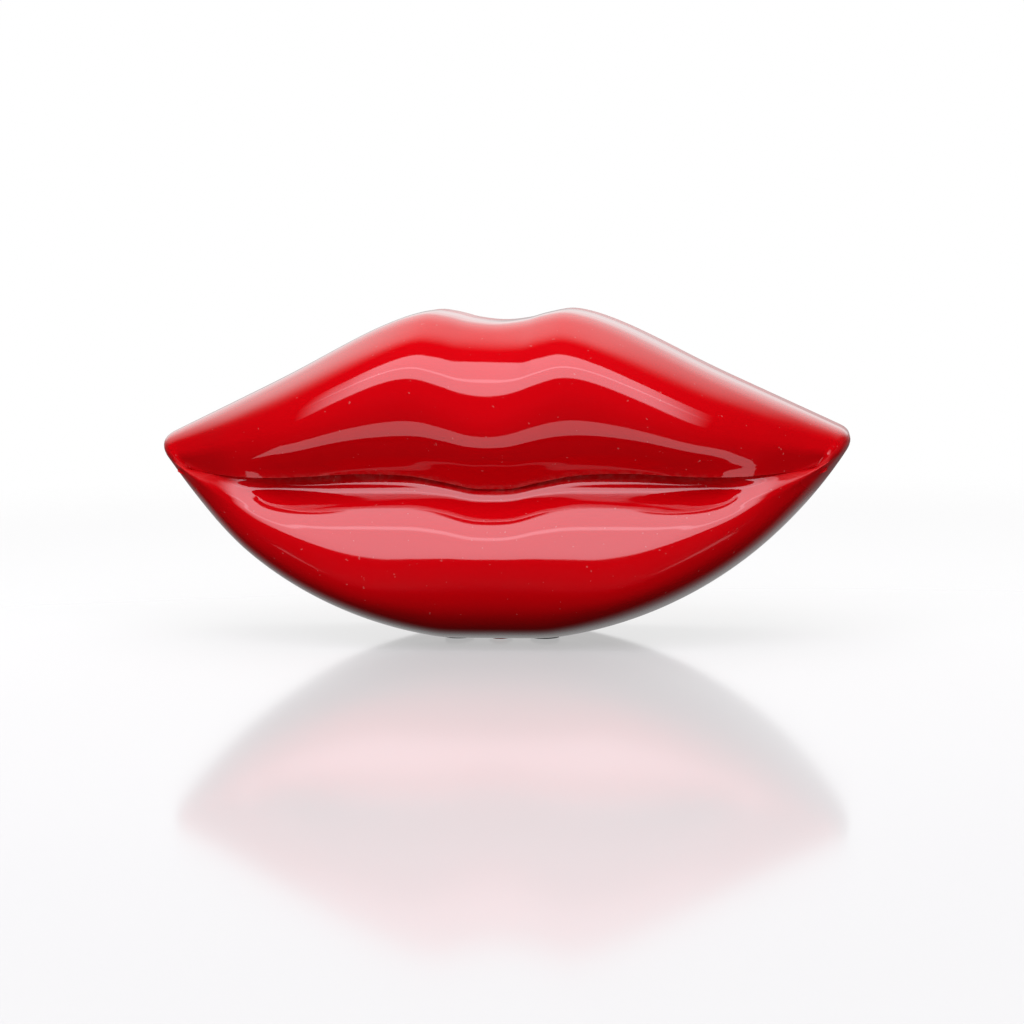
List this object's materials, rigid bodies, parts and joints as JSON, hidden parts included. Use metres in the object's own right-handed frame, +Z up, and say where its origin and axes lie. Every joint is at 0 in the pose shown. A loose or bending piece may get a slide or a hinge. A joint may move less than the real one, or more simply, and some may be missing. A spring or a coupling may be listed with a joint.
{
  "type": "novelty lips telephone",
  "caption": "One-piece novelty telephone shaped as a pair of closed glossy red lips, with keypad and ear cup on its back.",
  "frame": {"origin": "centre of the bounding box's base, on the table", "axes": "+X towards the receiver end, the right of someone who faces the lips; -Y the way the lips face; +Z up"},
  "size_m": [0.2162, 0.066, 0.1019],
  "materials": {
    "lips_gloss_red": "deep red moulded plastic with a high gloss",
    "cover_gloss_red": "deep red moulded plastic, glossy",
    "black_rubber": "soft black rubber",
    "grey_rubber": "grey silicone rubber",
    "plated_steel": "zinc-plated steel screws",
    "spring_steel": "plain steel",
    "black_plastic": "fine-textured black plastic",
    "key_plastic": "off-white key plastic",
    "cream_plastic": "natural moulding",
    "green_board": "glass-epoxy board",
    "brown_board": "paper-phenolic board",
    "brass_parts": "plain brass",
    "capsule_metal": "drawn aluminium and steel cans",
    "sleeve_blue": "blue sleeve",
    "resistor_tan": "lacquered resistor bodies",
    "lead_yellow": "yellow insulated wire",
    "lead_white": "white insulated wire",
    "lead_green": "green insulated wire"
  },
  "bodies": {
    "telephone": {"front_shell": "lips_gloss_red", "rear_cover": "cover_gloss_red", "rubber_feet": "black_rubber", "mic_boot": "black_rubber", "receiver_gasket": "black_rubber", "key_membrane": "grey_rubber", "case_screws": "plated_steel", "board_screws": "plated_steel", "retainer_screws": "plated_steel", "weight_screws": "plated_steel", "bracket_screws": "plated_steel", "hook_spring": "spring_steel", "counterweight": "spring_steel", "keypad_bezel": "black_plastic", "line_jack": "black_plastic", "tone_switch_body": "black_plastic", "ringer_switch_body": "black_plastic", "dialler_chip": "black_plastic", "speech_chip": "black_plastic", "ringer_housing": "black_plastic", "receiver_retainer": "cream_plastic", "hook_bracket": "cream_plastic", "ribbon_cable": "cream_plastic", "keypad_board": "green_board", "main_board": "brown_board", "board_spacers": "brass_parts", "ringer_disc": "brass_parts", "jack_contacts": "brass_parts", "hook_leaf_contacts": "brass_parts", "receiver_capsule": "capsule_metal", "mic_capsule": "capsule_metal", "line_transformer": "capsule_metal", "smoothing_capacitors": "sleeve_blue", "board_resistors": "resistor_tan", "receiver_leads": "lead_yellow", "mic_leads": "lead_white", "ringer_leads": "sleeve_blue", "jack_leads": "lead_green"},
    "key_1_body": {"key_1": "key_plastic"},
    "key_2_body": {"key_2": "key_plastic"},
    "key_3_body": {"key_3": "key_plastic"},
    "key_4_body": {"key_4": "key_plastic"},
    "key_5_body": {"key_5": "key_plastic"},
    "key_6_body": {"key_6": "key_plastic"},
    "key_7_body": {"key_7": "key_plastic"},
    "key_8_body": {"key_8": "key_plastic"},
    "key_9_body": {"key_9": "key_plastic"},
    "key_star_body": {"key_star": "key_plastic"},
    "key_0_body": {"key_0": "key_plastic"},
    "key_hash_body": {"key_hash": "key_plastic"},
    "key_redial_body": {"key_redial": "key_plastic"},
    "key_mute_body": {"key_mute": "key_plastic"},
    "key_flash_body": {"key_flash": "key_plastic"},
    "plunger": {"hook_plunger": "cover_gloss_red"},
    "tone_knob": {"tone_switch_knob": "key_plastic"},
    "ringer_knob": {"ringer_switch_knob": "key_plastic"}
  },
  "joints": [
    {"name": "key_1_press", "type": "slide", "parent": "telephone", "child": "key_1_body", "axis": [0, -1, 0], "range_m": [0, 0.0012], "stiffness_N_per_m": 400, "springref_m": -0.0006, "deforming": ["key_membrane"]},
    {"name": "key_2_press", "type": "slide", "parent": "telephone", "child": "key_2_body", "axis": [0, -1, 0], "range_m": [0, 0.0012], "stiffness_N_per_m": 400, "springref_m": -0.0006, "deforming": ["key_membrane"]},
    {"name": "key_3_press", "type": "slide", "parent": "telephone", "child": "key_3_body", "axis": [0, -1, 0], "range_m": [0, 0.0012], "stiffness_N_per_m": 400, "springref_m": -0.0006, "deforming": ["key_membrane"]},
    {"name": "key_4_press", "type": "slide", "parent": "telephone", "child": "key_4_body", "axis": [0, -1, 0], "range_m": [0, 0.0012], "stiffness_N_per_m": 400, "springref_m": -0.0006, "deforming": ["key_membrane"]},
    {"name": "key_5_press", "type": "slide", "parent": "telephone", "child": "key_5_body", "axis": [0, -1, 0], "range_m": [0, 0.0012], "stiffness_N_per_m": 400, "springref_m": -0.0006, "deforming": ["key_membrane"]},
    {"name": "key_6_press", "type": "slide", "parent": "telephone", "child": "key_6_body", "axis": [0, -1, 0], "range_m": [0, 0.0012], "stiffness_N_per_m": 400, "springref_m": -0.0006, "deforming": ["key_membrane"]},
    {"name": "key_7_press", "type": "slide", "parent": "telephone", "child": "key_7_body", "axis": [0, -1, 0], "range_m": [0, 0.0012], "stiffness_N_per_m": 400, "springref_m": -0.0006, "deforming": ["key_membrane"]},
    {"name": "key_8_press", "type": "slide", "parent": "telephone", "child": "key_8_body", "axis": [0, -1, 0], "range_m": [0, 0.0012], "stiffness_N_per_m": 400, "springref_m": -0.0006, "deforming": ["key_membrane"]},
    {"name": "key_9_press", "type": "slide", "parent": "telephone", "child": "key_9_body", "axis": [0, -1, 0], "range_m": [0, 0.0012], "stiffness_N_per_m": 400, "springref_m": -0.0006, "deforming": ["key_membrane"]},
    {"name": "key_star_press", "type": "slide", "parent": "telephone", "child": "key_star_body", "axis": [0, -1, 0], "range_m": [0, 0.0012], "stiffness_N_per_m": 400, "springref_m": -0.0006, "deforming": ["key_membrane"]},
    {"name": "key_0_press", "type": "slide", "parent": "telephone", "child": "key_0_body", "axis": [0, -1, 0], "range_m": [0, 0.0012], "stiffness_N_per_m": 400, "springref_m": -0.0006, "deforming": ["key_membrane"]},
    {"name": "key_hash_press", "type": "slide", "parent": "telephone", "child": "key_hash_body", "axis": [0, -1, 0], "range_m": [0, 0.0012], "stiffness_N_per_m": 400, "springref_m": -0.0006, "deforming": ["key_membrane"]},
    {"name": "key_redial_press", "type": "slide", "parent": "telephone", "child": "key_redial_body", "axis": [0, -1, 0], "range_m": [0, 0.0012], "stiffness_N_per_m": 400, "springref_m": -0.0006, "deforming": ["key_membrane"]},
    {"name": "key_mute_press", "type": "slide", "parent": "telephone", "child": "key_mute_body", "axis": [0, -1, 0], "range_m": [0, 0.0012], "stiffness_N_per_m": 400, "springref_m": -0.0006, "deforming": ["key_membrane"]},
    {"name": "key_flash_press", "type": "slide", "parent": "telephone", "child": "key_flash_body", "axis": [0, -1, 0], "range_m": [0, 0.0012], "stiffness_N_per_m": 400, "springref_m": -0.0006, "deforming": ["key_membrane"]},
    {"name": "hook_travel", "type": "slide", "parent": "telephone", "child": "plunger", "axis": [0, 0, -1], "range_m": [0, 0.004], "stiffness_N_per_m": 120, "springref_m": 0.008, "deforming": ["hook_spring"]},
    {"name": "tone_switch_slide", "type": "slide", "parent": "telephone", "child": "tone_knob", "axis": [1, 0, 0], "range_m": [0, 0.004]},
    {"name": "ringer_switch_slide", "type": "slide", "parent": "telephone", "child": "ringer_knob", "axis": [1, 0, 0], "range_m": [0, 0.004]}
  ]
}
